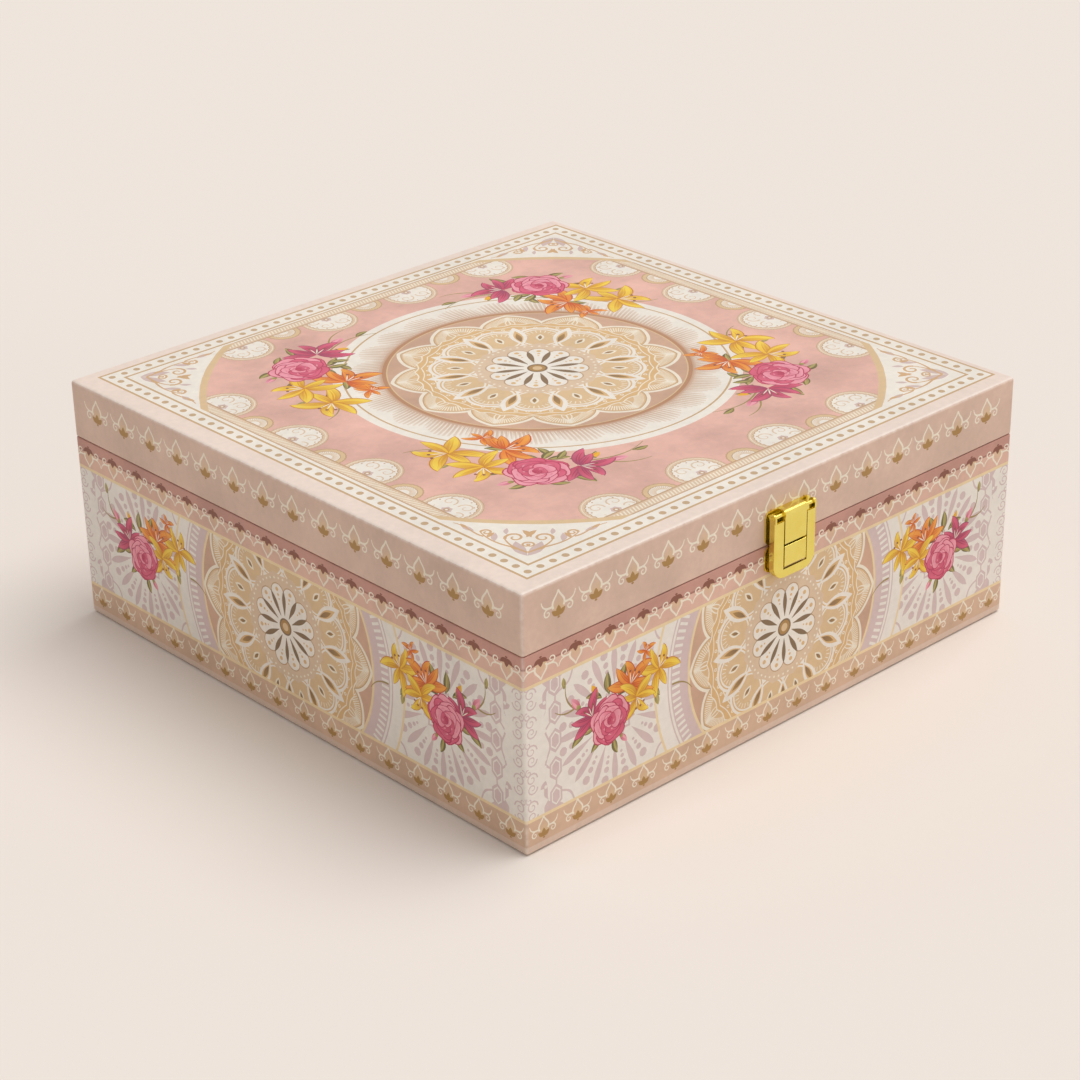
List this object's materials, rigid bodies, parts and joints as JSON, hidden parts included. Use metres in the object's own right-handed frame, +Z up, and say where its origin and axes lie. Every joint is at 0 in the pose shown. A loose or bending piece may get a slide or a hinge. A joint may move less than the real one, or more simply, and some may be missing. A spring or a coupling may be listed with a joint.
{
  "type": "sweet box",
  "caption": "Square paper-covered sweet box with a shallow hinged lid flush with its base, a lined inside and a swinging gilt latch at the front.",
  "frame": {"origin": "middle of the underside, on the surface that the box stands on", "axes": "+Z up, -Y out of the latch face, +Y out of the hinge face, +X to the right seen from the latch"},
  "size_m": [0.25, 0.2609, 0.098],
  "materials": {
    "printed_paper": "printed art paper with a satin laminate",
    "lining_paper": "plain ivory lining paper",
    "underside_paper": "plain uncoated covering paper",
    "fibreboard": "raw medium-density fibreboard",
    "gilt_metal": "bright gilt-plated sheet steel"
  },
  "bodies": {
    "base": {"base_floor": "fibreboard", "base_front_wall": "fibreboard", "base_back_wall": "fibreboard", "base_left_wall": "fibreboard", "base_right_wall": "fibreboard", "base_wrap": "printed_paper", "base_wall_lining": "lining_paper", "base_floor_lining": "lining_paper", "base_underside_sheet": "underside_paper", "hinge_base_leaf_left": "gilt_metal", "hinge_base_leaf_right": "gilt_metal", "hinge_pin_left": "gilt_metal", "hinge_pin_right": "gilt_metal", "hinge_base_tacks": "gilt_metal", "latch_catch_plate": "gilt_metal", "latch_catch_tacks": "gilt_metal"},
    "lid": {"lid_panel": "fibreboard", "lid_front_rim": "fibreboard", "lid_back_rim": "fibreboard", "lid_left_rim": "fibreboard", "lid_right_rim": "fibreboard", "lid_wrap": "printed_paper", "lid_rim_lining": "lining_paper", "lid_ceiling_lining": "lining_paper", "hinge_lid_leaf_left": "gilt_metal", "hinge_lid_leaf_right": "gilt_metal", "hinge_lid_tacks": "gilt_metal", "latch_hanger_plate": "gilt_metal", "latch_pin": "gilt_metal", "latch_hanger_tacks": "gilt_metal"},
    "latch_frame": {"latch_frame": "gilt_metal"}
  },
  "joints": [
    {"name": "lid_hinge", "type": "hinge", "parent": "base", "child": "lid", "pos_m": [0, 0.127, 0.07515], "axis": [-1, 0, 0], "range_deg": [0, 105]},
    {"name": "latch_swing", "type": "hinge", "parent": "lid", "child": "latch_frame", "pos_m": [0, -0.1277, 0.08645], "axis": [-1, 0, 0], "range_deg": [0, 165]}
  ]
}
